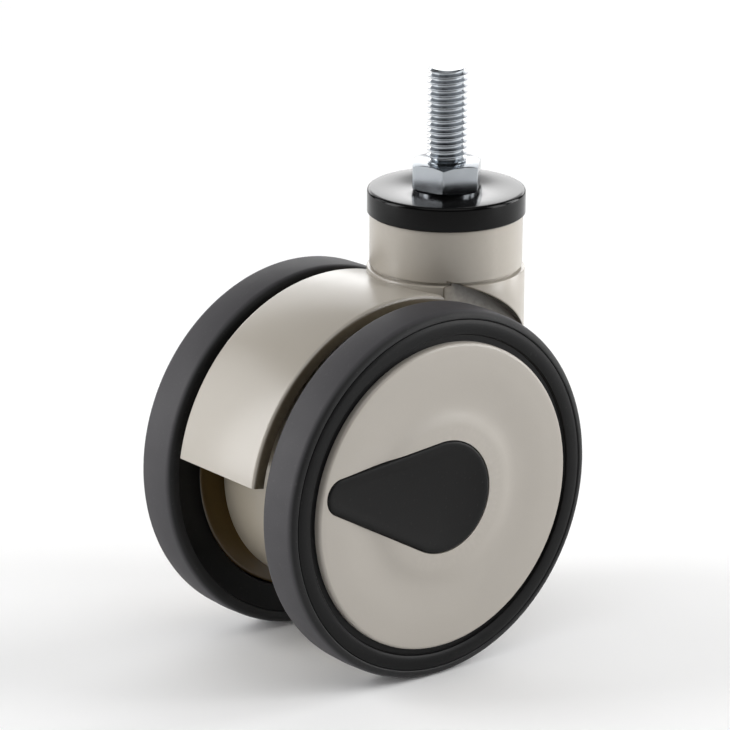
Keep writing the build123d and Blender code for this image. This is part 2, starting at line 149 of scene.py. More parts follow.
class CasterFinishes(bpy.types.PropertyGroup):
    """Colours of the caster's pieces, with painted shade on the housing's sides by the wheels and
    on its drum.
    """

    housing: colour("Housing", "Warm light grey of the housing", (0.40, 0.366, 0.316))
    disc: colour("Hub cover", "Warm light grey of the hub covers", (0.392, 0.362, 0.321))
    tread: colour("Tread", "Dark grey of the rolled tread", (0.047, 0.045, 0.049))
    sidewall: colour("Sidewall", "Black of the tyre's sides", (0.008, 0.008, 0.0085))
    # Painted shade: a dull brown laid on the housing's side faces inside the wheel spaces, where
    # the gaps next to the tyres fall in shade.
    painted_side_shade: colour(
        "Housing sides", "Dull brown of the housing's sides by the wheels", (0.12, 0.096, 0.062)
    )
    # Painted shade: the drum is coloured darker than the housing because it lies in shade between
    # the wheels.
    drum: colour("Drum", "Slightly darker grey of the hub drum", (0.32, 0.284, 0.226))
    rim: colour("Wheel centre", "Black of the wheel centres", (0.004, 0.004, 0.0042))
    drop: colour("Teardrop", "Black of the teardrop caps", (0.006, 0.0059, 0.0058))
    cap: colour("Top cap", "Black of the cap over the neck", (0.003, 0.003, 0.003))
    shield: colour("Dust shield", "Dark brown of the inner shields", (0.10, 0.063, 0.022))
    zinc: colour("Zinc plating", "Bright zinc of the stem", (0.36, 0.382, 0.405))
    steel: colour("Bearing steel", "Ground steel of the bearings", (0.62, 0.62, 0.63))
    spring: colour("Spring steel", "Dark oiled steel of the snap rings", (0.16, 0.16, 0.17))
    nylon: colour("Cage", "Natural nylon of the bearing cages", (0.62, 0.55, 0.40))


class CasterStudio(bpy.types.PropertyGroup):
    """Camera, floor and light."""

    azimuth: rotation(
        "Azimuth", "Camera's turn about the upright axis, 0 looking along +Y", radians(-38.84)
    )
    elevation: rotation("Elevation", "Camera's height angle", radians(17.77))
    roll: rotation("Roll", "Camera's tilt about its own line of sight", radians(0.255))
    distance: length("Distance", "From the camera to the point it looks at", 0.9018)
    lens: FloatProperty(name="Lens", description="Focal length in millimetres", default=222.2)
    ambient: FloatProperty(
        name="Ambient", description="Strength of the even light from all round", default=0.0,
    )
    floor_colour: colour("Floor", "Colour of the floor", (0.97, 0.97, 0.97))
    front_power: power("Front light", "Power of the high panel in front", 6.3)
    top_power: power("Top light", "Power of the overhead panel", 4.5)
    left_power: power("Left light", "Power of the left panel", 5.3)
    left_rear_power: power("Left rear light", "Power of the panel at the left rear", 1.7)
    right_power: power("Right light", "Power of the right panel", 4.7)
    right_rear_power: power("Right rear light", "Power of the panel at the right rear", 5.2)
    back_power: power("Back light", "Power of the panel behind", 12.6)
    back_low_power: power("Low back light", "Power of the low panel behind", 4.5)


def leave_edit():
    bpy.ops.object.mode_set(mode="OBJECT")


def clear_selection():
    """Leave edit mode and deselect everything, so that the next operator acts on one piece."""
    if bpy.context.object and bpy.context.object.mode != "OBJECT":
        leave_edit()
    bpy.ops.object.select_all(action="DESELECT")


def only(piece):
    clear_selection()
    piece.select_set(True)
    bpy.context.view_layer.objects.active = piece
    return piece


def settle(piece):
    """Put the piece's place and turn into its mesh, with its object at the origin."""
    only(piece)
    bpy.ops.object.transform_apply(location=True, rotation=True, scale=True)
    return piece


def pick(test, kind="VERT"):
    """Select, in edit mode, every vertex, edge or face whose corners all pass the test."""
    bpy.context.tool_settings.mesh_select_mode = (kind == "VERT", kind == "EDGE", kind == "FACE")
    mesh = bmesh.from_edit_mesh(bpy.context.object.data)
    for group in (mesh.verts, mesh.edges, mesh.faces):
        for item in group:
            item.select = False
    found = {"VERT": mesh.verts, "EDGE": mesh.edges, "FACE": mesh.faces}[kind]
    for item in found:
        corners = [item] if kind == "VERT" else item.verts
        if all(test(corner.co) for corner in corners):
            item.select_set(True)
    mesh.select_flush_mode()
    bmesh.update_edit_mesh(bpy.context.object.data)


def edit_all(piece):
    """Open one piece in edit mode with all of it selected."""
    only(piece)
    bpy.ops.object.mode_set(mode="EDIT")
    bpy.ops.mesh.select_all(action="SELECT")


def make_normals_face_out(piece):
    edit_all(piece)
    bpy.ops.mesh.remove_doubles(threshold=0.002 * MM)
    bpy.ops.mesh.normals_make_consistent(inside=False)
    leave_edit()
    return piece


def turn(name, rings, along="Y", closed=True, steps=ROUND_STEPS):
    """Turn a piece: one circle is extruded and resized through (radius, distance) rings.

    A closed section joins its last ring to its first. An open one gets a flat cap at each end.
    """
    upright = along == "Z"
    centre = SWIVEL_CENTRE if upright else AXLE_CENTRE
    axis = Vector((0, 0, 1)) if upright else Vector((0, 1, 0))
    radius, distance = rings[0]
    clear_selection()
    bpy.ops.mesh.primitive_circle_add(
        vertices=steps, radius=radius, location=centre + axis * distance,
        rotation=(0 if upright else -pi / 2, 0, 0), fill_type="NOTHING" if closed else "NGON",
    )
    piece = settle(bpy.context.object)
    piece.name = piece.data.name = name
    edit_all(piece)
    bpy.context.tool_settings.mesh_select_mode = (True, False, False)
    extrude = bpy.ops.mesh.extrude_edges_move if closed else bpy.ops.mesh.extrude_region_move
    for wide, far in rings[1:]:
        extrude(TRANSFORM_OT_translate={"value": axis * (far - distance)})
        bpy.ops.transform.resize(value=(wide / radius,) * 3, center_override=centre + axis * far)
        radius, distance = wide, far
    if closed:
        ends = (rings[0], rings[-1])

        def on_an_end(place):
            off = place - centre
            out = off.dot(axis)
            return any(
                abs(out - far) < 1e-6 and abs((off - axis * out).length - wide) < 1e-6
                for wide, far in ends
            )

        pick(on_an_end, "EDGE")
        bpy.ops.mesh.bridge_edge_loops()
    return make_normals_face_out(piece)


def arc(centre, radius, start, finish, steps=5):
    """Points of a rounded corner in a (radius, distance) section."""
    turns = [start + (finish - start) * n / steps for n in range(steps + 1)]
    return [(centre[0] + radius * cos(a), centre[1] + radius * sin(a)) for a in turns]


def modify(piece, kind, **values):
    """Add one modifier and apply it."""
    only(piece)
    bpy.ops.object.modifier_add(type=kind)
    modifier = piece.modifiers[-1]
    for key, value in values.items():
        setattr(modifier, key, value)
    bpy.ops.object.modifier_apply(modifier=modifier.name)
    return piece


def combine(piece, other, operation):
    """Join, cut or intersect with another closed piece, which is used up."""
    modify(piece, "BOOLEAN", object=other, operation=operation, solver="EXACT")
    bpy.data.objects.remove(other)
    return piece


def soften(piece, width, angle=30, segments=3):
    return modify(
        piece, "BEVEL", width=width, segments=segments, limit_method="ANGLE",
        angle_limit=radians(angle), harden_normals=False,
    )


def finish(piece, name, body, node, slot, material, angle=30):
    """Name a piece, smooth it, give it its finish, tie it to its body and hide the CAD node it
    stands for.
    """
    piece.name = piece.data.name = name
    only(piece)
    bpy.ops.object.shade_smooth_by_angle(angle=radians(angle))
    piece.data.materials.clear()
    piece.data.materials.append(material)
    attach(piece, body)
    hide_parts(node)
    clear_selection()
    return piece


def mirrored(piece):
    """A copy of a left piece on the right side."""
    only(piece)
    bpy.ops.object.duplicate()
    copy = bpy.context.object
    edit_all(copy)
    bpy.ops.transform.resize(value=(1, -1, 1), center_override=(0, 0, 0))
    bpy.ops.mesh.flip_normals()
    leave_edit()
    return copy


def finish_pair(piece, what, slot, material, angle=30):
    """Finish a left wheel piece and its mirrored copy."""
    pieces = dict(zip(SIDES, (piece, mirrored(piece))))
    for side, made in pieces.items():
        node = f"{side}_{what}"
        finish(made, f"{node}_skin", f"{side}_wheel", node, slot, material, angle)


# Shared effects, built once as node groups.

COLOUR, VALUE, VECTOR = "NodeSocketColor", "NodeSocketFloat", "NodeSocketVector"
MID_GREY = (0.5, 0.5, 0.5, 1)
DUST = (0.55, 0.53, 0.50, 1)


def new_group(name, inputs, outputs):
    """Start a node group: the group, the sockets it is given and the node for its results."""
    group = bpy.data.node_groups.new(name, "ShaderNodeTree")
    for label, kind, default in inputs:
        socket = group.interface.new_socket(label, in_out="INPUT", socket_type=kind)
        socket.default_value = default
    for label, kind in outputs:
        group.interface.new_socket(label, in_out="OUTPUT", socket_type=kind)
    return group, group.nodes.new("NodeGroupInput").outputs, group.nodes.new("NodeGroupOutput")


def fill(tree, made, values):
    """Link a node's inputs to sockets, or set them to plain values, by name or number."""
    for key, value in values.items():
        if isinstance(value, bpy.types.NodeSocket):
            tree.links.new(value, made.inputs[key])
        else:
            made.inputs[key].default_value = value
    return made


def node(tree, kind, values=None, **settings):
    """Add a node, set its own settings, and fill its inputs."""
    made = tree.nodes.new(kind)
    for key, value in settings.items():
        setattr(made, key, value)
    return fill(tree, made, values or {})


def object_place(tree):
    return node(tree, "ShaderNodeTexCoord").outputs["Object"]


def maths(tree, operation, *values):
    return node(tree, "ShaderNodeMath", dict(enumerate(values)), operation=operation).outputs[0]


def vector_maths(tree, operation, values, output=0):
    return node(tree, "ShaderNodeVectorMath", values, operation=operation).outputs[output]


def noise(tree, place, scale, detail, roughness=0.5):
    return node(tree, "ShaderNodeTexNoise", {
        "Vector": place, "Scale": scale, "Detail": detail, "Roughness": roughness,
    }).outputs["Fac"]


def ramp(tree, value, low, high, **settings):
    """0 to 1 as the value goes from low to high."""
    return node(tree, "ShaderNodeMapRange", {
        "Value": value, "From Min": low, "From Max": high,
    }, **settings).outputs[0]


def mix(tree, share, under, over):
    return node(tree, "ShaderNodeMix", {0: share, 6: under, 7: over}, data_type="RGBA").outputs[2]


def reach_from_centre(tree, place, given):
    """How far a place is from the centre, along the axes that Across keeps."""
    off = vector_maths(tree, "SUBTRACT", {0: place, 1: given["Centre"]})
    flat = vector_maths(tree, "MULTIPLY", {0: off, 1: given["Across"]})
    return vector_maths(tree, "LENGTH", {0: flat}, "Value")


def moulded_surface_group():
    """Moulded plastic or rubber: slow colour drift, fine grain and an uneven gloss."""
    group, given, out = new_group(
        "moulded_surface",
        [
            ("Colour", COLOUR, MID_GREY),
            ("Drift", VALUE, 0.06),
            ("Drift size", VALUE, 70.0),
            ("Grain size", VALUE, 2600.0),
            ("Grain height", VALUE, 0.25),
            ("Roughness", VALUE, 0.4),
            ("Gloss variation", VALUE, 0.08),
        ],
        [("Colour", COLOUR), ("Roughness", VALUE), ("Normal", VECTOR)],
    )
    place = object_place(group)
    drift = maths(group, "SUBTRACT", noise(group, place, given["Drift size"], 4.0, 0.55), 0.5)
    gain = maths(group, "ADD", maths(group, "MULTIPLY", drift, given["Drift"]), 1.0)
    gloss = maths(group, "SUBTRACT", noise(group, place, 210.0, 5.0), 0.5)
    bump = node(group, "ShaderNodeBump", {
        "Strength": given["Grain height"], "Distance": 0.05 * MM,
        "Height": noise(group, place, given["Grain size"], 2.0, 0.6),
    })
    fill(group, out, {
        "Colour": vector_maths(group, "SCALE", {0: given["Colour"], "Scale": gain}),
        "Roughness": maths(
            group, "MULTIPLY_ADD", gloss, given["Gloss variation"], given["Roughness"]
        ),
        "Normal": bump.outputs["Normal"],
    })


def handling_marks_group():
    """Dust specks and light rubbing on raised edges, added over a finished colour."""
    group, given, out = new_group(
        "handling_marks",
        [
            ("Colour", COLOUR, MID_GREY),
            ("Roughness", VALUE, 0.4),
            ("Edge colour", COLOUR, (0.6, 0.6, 0.6, 1)),
            ("Edge amount", VALUE, 0.3),
            ("Dust amount", VALUE, 0.15),
        ],
        [("Colour", COLOUR), ("Roughness", VALUE)],
    )
    place = object_place(group)
    edge = node(group, "ShaderNodeNewGeometry").outputs["Pointiness"]
    worn = ramp(group, edge, 0.52, 0.62)
    patchy = ramp(group, noise(group, place, 900.0, 3.0), 0.35, 0.65)
    rubbed = maths(group, "MULTIPLY", maths(group, "MULTIPLY", worn, patchy), given["Edge amount"])
    speck = ramp(group, noise(group, place, 1500.0, 1.0), 0.68, 0.74)
    dust = maths(group, "MULTIPLY", speck, given["Dust amount"])
    edged = mix(group, rubbed, given["Colour"], given["Edge colour"])
    marks = maths(group, "ADD", rubbed, dust)
    fill(group, out, {
        "Colour": mix(group, dust, edged, DUST),
        "Roughness": maths(group, "MULTIPLY_ADD", marks, 0.25, given["Roughness"]),
    })


def band_mask_group():
    """Mask of how far a place lies past a start along one axis, or out from a centre line."""
    group, given, out = new_group(
        "band_mask",
        [
            ("Centre", VECTOR, (0, 0, 0)),
            ("Across", VECTOR, ROUND_AXLE),
            ("Start", VALUE, 0.0),
            ("End", VALUE, 1.0),
            ("Unevenness", VALUE, 0.0),
        ],
        [("Mask", VALUE)],
    )
    place = object_place(group)
    reach = reach_from_centre(group, place, given)
    shift = maths(group, "SUBTRACT", noise(group, place, 240.0, 4.0), 0.5)
    moved = maths(group, "MULTIPLY_ADD", shift, given["Unevenness"], reach)
    mask = ramp(group, moved, given["Start"], given["End"], interpolation_type="SMOOTHSTEP")
    fill(group, out, {"Mask": mask})


def turned_rings_group():
    """Fine rings about one of the frame's axes, as left by a mould's turned face or a lathe."""
    group, given, out = new_group(
        "turned_rings",
        [
            ("Centre", VECTOR, (0, 0, 0)),
            ("Across", VECTOR, ROUND_AXLE),
            ("Rings per metre", VALUE, 4000.0),
            ("Height", VALUE, 0.2),
            ("Normal", VECTOR, (0, 0, 0)),
        ],
        [("Normal", VECTOR)],
    )
    reach = reach_from_centre(group, object_place(group), given)
    count = maths(group, "MULTIPLY", reach, given["Rings per metre"])
    rings = node(group, "ShaderNodeTexNoise", {
        "W": count, "Scale": 1.0, "Detail": 2.0,
    }, noise_dimensions="1D").outputs["Fac"]
    bump = node(group, "ShaderNodeBump", {
        "Strength": given["Height"], "Distance": 0.02 * MM, "Height": rings,
        "Normal": given["Normal"],
    })
    fill(group, out, {"Normal": bump.outputs["Normal"]})


def group_node(tree, group, values):
    made = tree.nodes.new("ShaderNodeGroup")
    made.node_tree = bpy.data.node_groups[group]
    return fill(tree, made, values)


def blank_material(name):
    material = bpy.data.materials.new(name)
    material.use_nodes = True
    tree = material.node_tree
    return material, tree, tree.nodes["Principled BSDF"]


def lighten(base, gain, lift):
    return tuple(min(1.0, gain * part + lift) for part in base[:3]) + (1,)


def layered(name, ground, lighter, edge, dust, rings, bands, surface, sockets):
    """Material of the shared surface and marks and, on turned faces, rings.

    Each band is (colour, places): the colour changes where the masks of all its places are on.
    """
    material, tree, shader = blank_material(name)
    for other, places in bands:
        share = 1.0
        for centre, across, start, end in places:
            mask = group_node(tree, "band_mask", {
                "Centre": centre, "Across": across, "Start": start, "End": end,
                "Unevenness": 0.03 * MM,
            })
            share = maths(tree, "MULTIPLY", mask.outputs["Mask"], share)
        ground = mix(tree, share, ground, other)
    faced = group_node(tree, "moulded_surface", {"Colour": ground, **surface}).outputs
    marks = group_node(tree, "handling_marks", {
        "Colour": faced["Colour"], "Roughness": faced["Roughness"],
        "Edge colour": lighter, "Edge amount": edge, "Dust amount": dust,
    })
    normal = faced["Normal"]
    if rings:
        centre, across, per_metre, height = rings
        normal = group_node(tree, "turned_rings", {
            "Centre": centre, "Across": across, "Rings per metre": per_metre, "Height": height,
            "Normal": normal,
        }).outputs["Normal"]
    fill(tree, shader, {
        "Base Color": marks.outputs["Colour"], "Roughness": marks.outputs["Roughness"],
        "Normal": normal, **sockets,
    })
    return material


def plastic(name, base, roughness, drift=0.06, grain=0.25, grain_size=2600.0, edge=0.2, dust=0.06,
            coat=0.0, coat_roughness=0.1, rings=None, gloss_variation=0.08, specular=0.5, bands=()):
    """Moulded plastic or rubber, whose colour may change in bands."""
    surface = {
        "Drift": drift, "Grain size": grain_size, "Grain height": grain, "Roughness": roughness,
        "Gloss variation": gloss_variation,
    }
    return layered(name, base, lighten(base, 1.35, 0.03), edge, dust, rings, bands, surface, {
        "Specular IOR Level": specular, "Coat Weight": coat, "Coat Roughness": coat_roughness,
    })


def metal(name, base, roughness, drift=0.12, rings=None, edge=0.25, grain=0.15):
    """Bare or plated steel with an uneven gloss and fine scratches."""
    surface = {
        "Drift": drift, "Drift size": 260.0, "Grain size": 3800.0, "Grain height": grain,
        "Roughness": roughness, "Gloss variation": 0.16,
    }
    return layered(name, base, lighten(base, 1.15, 0.0), edge, 0.0, rings, (), surface, {
        "Metallic": 1.0,
    })


class CASTER_OT_surface_effects(bpy.types.Operator):
    """Build the node groups that the finishes share"""

    bl_idname = "caster.surface_effects"
    bl_label = "Surface effects"

    def execute(self, context):
        moulded_surface_group()
        handling_marks_group()
        band_mask_group()
        turned_rings_group()
        return {"FINISHED"}


class CASTER_OT_tyres(bpy.types.Operator):
    """Turn the two solid treads, with rounded shoulders and a faint crown"""

    bl_idname = "caster.tyres"
    bl_label = "Tyres"

    def execute(self, context):
        sizes = context.scene.caster_wheel
        inner, outer = TYRE_LOW.y, TYRE_HIGH.y
        soft, edge_r = sizes.shoulder, TYRE_R - sizes.crown
        bead_r, face_r = TYRE_R - 2.5 * MM, TYRE_R - 1.9 * MM
        rings = [(SEAT_R, inner + SEAT_STEP), (bead_r, inner + SEAT_STEP), (bead_r, inner)]
        rings += arc((edge_r - soft, inner + soft), soft, -pi / 2, 0, 7)
        rings += [(TYRE_R, (inner + outer) / 2)]
        rings += arc((edge_r - soft, outer - soft), soft, 0, pi / 2, 7)
        rings += [
            (face_r + 0.30 * MM, outer), (face_r + 0.08 * MM, outer - 0.12 * MM),
            (face_r + 0.02 * MM, outer - 0.5 * MM), (face_r + 0.02 * MM, outer - SEAT_STEP),
            (SEAT_R, outer - SEAT_STEP),
        ]
        colours = context.scene.caster_finishes
        rolled_face = (AXLE_CENTRE, ROUND_AXLE, TYRE_R - 0.75 * MM, TYRE_R - 0.15 * MM)
        tread = plastic(
            "tread_polyurethane", colours.sidewall, 0.62, drift=0.10, grain=0.30,
            grain_size=1900.0, edge=0.03, dust=0.02, gloss_variation=0.14, specular=0.35,
            bands=[(colours.tread, [rolled_face])],
        )
        finish_pair(turn("tyre", rings), "tyre", "tread_grey", tread, 25)
        return {"FINISHED"}


class CASTER_OT_wheel_centres(bpy.types.Operator):
    """Turn the two black wheel centres: hub, ribbed web, tyre seat and framing ring"""

    bl_idname = "caster.wheel_centres"
    bl_label = "Wheel centres"

    def execute(self, context):
        hub_in, tread_in = RIM_LOW.y, TYRE_LOW.y
        flange_r = (RIM_HIGH.x - RIM_LOW.x) / 2
        bearing_low, bearing_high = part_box("left_bearing_outer_ring")
        bore_r = (bearing_high.x - bearing_low.x) / 2
        ring_end = bearing_high.y + 1.0 * MM
        hub_out, shoulder_r, snap_r = ring_end + 0.5 * MM, bore_r - 1.4 * MM, bore_r + 0.5 * MM
        web_in, web_out = 18.2 * MM, 20.4 * MM
        shelf_r, step_r, groove_r = SHIELD_R - 1.2 * MM, flange_r - 0.63 * MM, 32.5 * MM
        face = TYRE_HIGH.y
        rings = [
            (shoulder_r, hub_in), (HUB_R - 0.3 * MM, hub_in), (HUB_R, hub_in + 0.3 * MM),
            (HUB_R, web_in), (shelf_r, web_in), (shelf_r, SHIELD_HIGH.y), (SHIELD_R, SHIELD_HIGH.y),
            (SHIELD_R, tread_in + 0.4 * MM), (SHIELD_R + 0.12 * MM, tread_in + 0.12 * MM),
            (SHIELD_R + 0.4 * MM, tread_in), (flange_r - 0.75 * MM, tread_in),
            (step_r, tread_in + 0.15 * MM), (step_r, tread_in + SEAT_STEP),
            (SEAT_R, tread_in + SEAT_STEP), (SEAT_R, face - SEAT_STEP),
            (flange_r, face - SEAT_STEP), (flange_r, face - 0.45 * MM),
        ]
        band_mid, band_half = (flange_r + groove_r) / 2, (flange_r - groove_r) / 2
        band_rise, band_steps = (RIM_HIGH.y - face) + 0.3 * MM, 8
        for n in range(band_steps + 1):
            step = pi * n / band_steps
            rings.append((
                band_mid + band_half * cos(step), face - 0.3 * MM + band_rise * sin(step) ** 0.8
            ))
        rings += [
            (groove_r, COVER_BACK + 0.15 * MM), (groove_r - 0.15 * MM, COVER_BACK),
            (LEDGE_R, COVER_BACK), (LEDGE_R, web_out), (HUB_R, web_out), (HUB_R, hub_out),
            (bore_r, hub_out), (bore_r, ring_end), (snap_r, ring_end), (snap_r, bearing_high.y),
            (bore_r, bearing_high.y), (bore_r, bearing_low.y), (shoulder_r, bearing_low.y),
        ]
        rim = turn("rim", rings)
        rib_top, rib_low, middle = 22.2 * MM, web_out - 0.5 * MM, (LEDGE_R + HUB_R) / 2
        for n in range(RIBS):
            angle = 2 * pi * n / RIBS
            clear_selection()
            bpy.ops.mesh.primitive_cube_add(
                size=1, rotation=(0, angle, 0),
                location=AXLE_CENTRE + Vector((
                    middle * cos(angle), (rib_top + rib_low) / 2, -middle * sin(angle)
                )),
                scale=(LEDGE_R - HUB_R + 0.6 * MM, rib_top - rib_low, 1.8 * MM),
            )
            rib = soften(settle(bpy.context.object), 0.3 * MM, segments=2)
            combine(rim, rib, "UNION")
        black = plastic(
            "wheel_centre_black", context.scene.caster_finishes.rim, 0.33, drift=0.12, grain=0.22,
            edge=0.03, dust=0.01, specular=0.16,
            rings=(AXLE_CENTRE, ROUND_AXLE, 2500.0, 0.10),
        )
        finish_pair(rim, "rim", "rim_black", black)
        return {"FINISHED"}


def teardrop(name, grow, low, high, sizes, steps=128):
    """Teardrop slab: the hull of two upright discs, one round the axle and one at the tip."""
    ends = (
        (sizes.drop_big + grow, AXLE_CENTRE),
        (sizes.drop_tip + grow, AXLE_CENTRE + sizes.drop_length * Vector(
            (cos(sizes.drop_angle), 0, sin(sizes.drop_angle)))),
    )
    discs = []
    for radius, spot in ends:
        clear_selection()
        bpy.ops.mesh.primitive_cylinder_add(
            vertices=steps, radius=radius, depth=high - low, rotation=(-pi / 2, 0, 0),
            location=(spot.x, (low + high) / 2, spot.z),
        )
        discs.append(settle(bpy.context.object))
    for disc in discs:
        disc.select_set(True)
    bpy.context.view_layer.objects.active = discs[0]
    bpy.ops.object.join()
    piece = bpy.context.object
    piece.name = piece.data.name = name
    edit_all(piece)
    bpy.ops.mesh.convex_hull()
    bpy.ops.mesh.select_all(action="SELECT")
    bpy.ops.mesh.dissolve_limited(angle_limit=radians(0.5))
    leave_edit()
    return make_normals_face_out(piece)


class CASTER_OT_hub_covers(bpy.types.Operator):
    """Turn the two light hub covers, faintly dished, and cut the teardrop windows"""

    bl_idname = "caster.hub_covers"
    bl_label = "Hub covers"

    def execute(self, context):
        sizes = context.scene.caster_wheel
        out, skirt = DISC_HIGH.y, DISC_LOW.y
        radius = (DISC_HIGH.x - DISC_LOW.x) / 2
        skirt_r, land_r, middle_r, soft = 27.4 * MM, 29.2 * MM, 1.0 * MM, 0.7 * MM
        low_land = 0.02 * MM
        rings = [(middle_r, COVER_BACK), (skirt_r - 0.4 * MM, COVER_BACK)]
        rings += [(skirt_r, COVER_BACK - 0.3 * MM), (skirt_r, skirt), (LEDGE_R - 0.3 * MM, skirt)]
        rings += [(LEDGE_R, skirt + 0.3 * MM), (LEDGE_R, COVER_BACK), (radius, COVER_BACK)]
        rings += arc((radius - soft, out - soft), soft, 0, pi / 2, 6)
        rings += [(land_r, out - low_land)]
        valley, land, rise, dish_steps = 18.4 * MM, 14.4 * MM, 27.5 * MM, 12
        for n in range(dish_steps + 1):
            wide = rise + (land - rise) * n / dish_steps
            side = (rise - valley) if wide > valley else (valley - land)
            depth = 0.5 + 0.5 * cos(pi * min(1.0, abs(wide - valley) / side))
            rings.append((wide, out - low_land * (wide > land) - sizes.disc_dish * depth))
        disc = turn("disc", rings + [(middle_r, out)])
        window = teardrop("window", 0.14 * MM, COVER_BACK - 1.0 * MM, out + 1.0 * MM, sizes)
        combine(disc, window, "DIFFERENCE")
        light = plastic(
            "hub_cover_light_grey", context.scene.caster_finishes.disc, 0.36, drift=0.05,
            grain=0.16, grain_size=2200.0, edge=0.10, dust=0.02, coat=0.25, coat_roughness=0.22,
            rings=(AXLE_CENTRE, ROUND_AXLE, 1800.0, 0.06),
        )
        finish_pair(disc, "cover_disc", "disc_beige", light, 28)
        return {"FINISHED"}


class CASTER_OT_teardrop_caps(bpy.types.Operator):
    """Make the two black teardrop caps that close the hub covers' windows"""

    bl_idname = "caster.teardrop_caps"
    bl_label = "Teardrop caps"

    def execute(self, context):
        sizes = context.scene.caster_wheel
        out, low, keep_r = DROP_HIGH.y, DROP_LOW.y, 27.3 * MM
        plug = teardrop("plug", 0, COVER_BACK - 0.2 * MM, out, sizes)
        only(plug)
        bpy.ops.object.mode_set(mode="EDIT")
        pick(lambda place: place.y > out - 1e-6, "FACE")
        bpy.ops.mesh.inset(thickness=1.2 * MM, depth=0)
        bpy.ops.mesh.inset(thickness=0.5 * MM, depth=-0.10 * MM)
        leave_edit()
        soften(plug, 0.55 * MM, angle=50, segments=5)
        flange = teardrop("flange", 1.2 * MM, low, COVER_BACK, sizes)
        keep = turn("keep", [(keep_r, low - MM), (keep_r, COVER_BACK + MM)], closed=False)
        combine(flange, keep, "INTERSECT")
        combine(plug, flange, "UNION")
        black = plastic(
            "teardrop_black", context.scene.caster_finishes.drop, 0.44, drift=0.15, grain=0.30,
            grain_size=1700.0, edge=0.04, dust=0.01, specular=0.13,
        )
        finish_pair(plug, "teardrop_cap", "teardrop_black", black)
        return {"FINISHED"}


class CASTER_OT_dust_shields(bpy.types.Operator):
    """Turn the two dark brown shields that close the wheels' inner sides"""

    bl_idname = "caster.dust_shields"
    bl_label = "Dust shields"

    def execute(self, context):
        near, far = SHIELD_LOW.y, SHIELD_HIGH.y
        valley, edge_soft = near + 0.45 * MM, 0.9 * MM
        rings = [(HUB_R, far), (HUB_R, near + 0.2 * MM), (HUB_R + 0.2 * MM, near)]
        rings += [(17.0 * MM, near), (17.6 * MM, valley), (22.6 * MM, valley), (23.2 * MM, near)]
        rings += [(SHIELD_R - 3.0 * MM, near + 0.03 * MM), (SHIELD_R - 1.4 * MM, near + 0.10 * MM)]
        rings += arc((SHIELD_R - edge_soft, near + edge_soft), edge_soft, -pi / 2, 0, 5)
        rings += [(SHIELD_R, far)]
        brown = plastic(
            "shield_dark_brown", context.scene.caster_finishes.shield, 0.24, drift=0.10, grain=0.08,
            edge=0.04, dust=0.0, coat=0.4, coat_roughness=0.12,
        )
        finish_pair(turn("shield", rings), "dust_shield", "shield_brown", brown)
        return {"FINISHED"}


def arc_block(name, inner, outer, half, start, finish, edge=0.0):
    """Block round the axle: a plane's section, softened at its outer corners, is spun."""
    clear_selection()
    steps = max(6, round((finish - start) / radians(1.9)))
    bpy.ops.mesh.primitive_plane_add(
        size=1, location=AXLE_CENTRE + Vector(((inner + outer) / 2, 0, 0))
    )
    piece = bpy.context.object
    piece.scale = (outer - inner, 2 * half, 1)
    settle(piece)
    piece.name = piece.data.name = name
    bpy.ops.object.mode_set(mode="EDIT")
    if edge:
        pick(lambda place: place.x > AXLE_CENTRE.x + outer - 1e-6, "VERT")
        bpy.ops.mesh.bevel(offset=edge, segments=5, affect="VERTICES")
    bpy.ops.mesh.select_all(action="SELECT")
    bpy.ops.transform.rotate(value=start, orient_axis="Y", center_override=AXLE_CENTRE)
    bpy.ops.mesh.select_all(action="SELECT")
    bpy.ops.mesh.spin(steps=steps, angle=finish - start, center=AXLE_CENTRE, axis=(0, 1, 0))
    leave_edit()
    return make_normals_face_out(piece)


